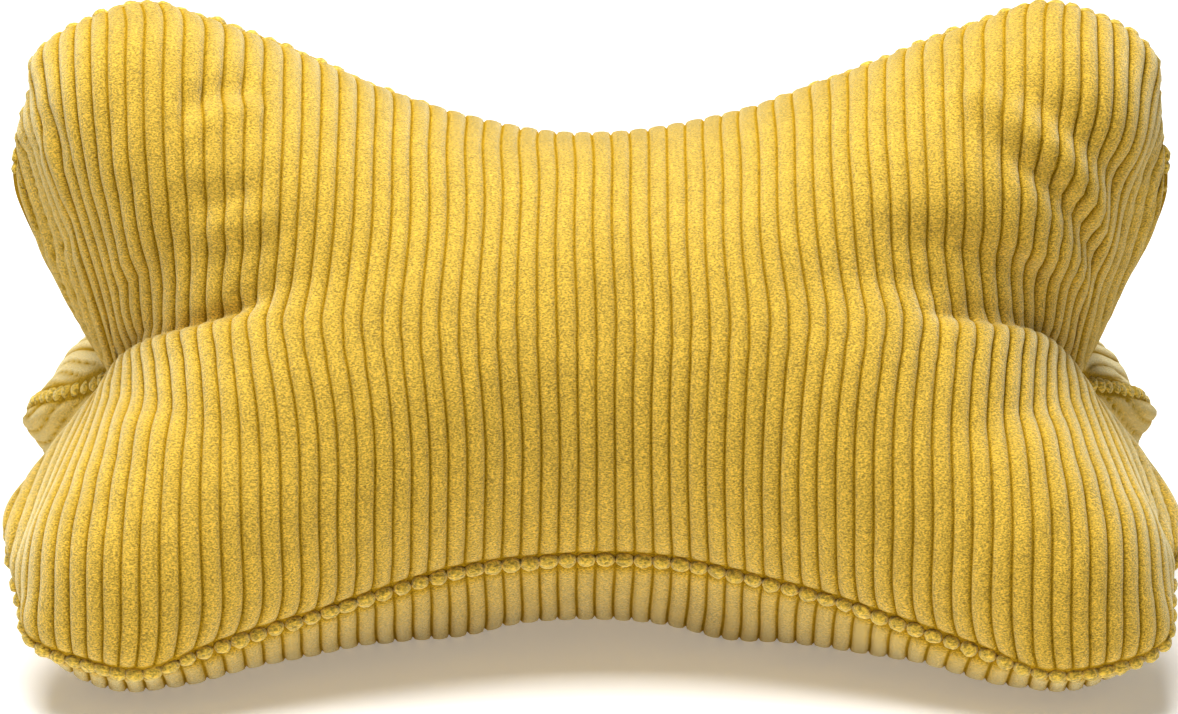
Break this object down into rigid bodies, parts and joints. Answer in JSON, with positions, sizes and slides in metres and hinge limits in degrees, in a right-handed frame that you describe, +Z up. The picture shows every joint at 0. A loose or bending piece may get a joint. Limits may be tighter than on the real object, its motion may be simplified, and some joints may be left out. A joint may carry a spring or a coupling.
{
  "type": "neck pillow",
  "caption": "Bone-shaped neck pillow in wide-wale corduroy with rounded lobes at its ends and a narrow waist that cradles the neck.",
  "frame": {"origin": "on the surface under the middle of the pillow", "axes": "+X along the pillow, +Z up, the front panel faces -Y"},
  "size_m": [0.4024, 0.2324, 0.2175],
  "materials": {
    "corduroy": "matt wide-wale pile"
  },
  "bodies": {
    "root": {"pillow": "corduroy"}
  },
  "joints": []
}
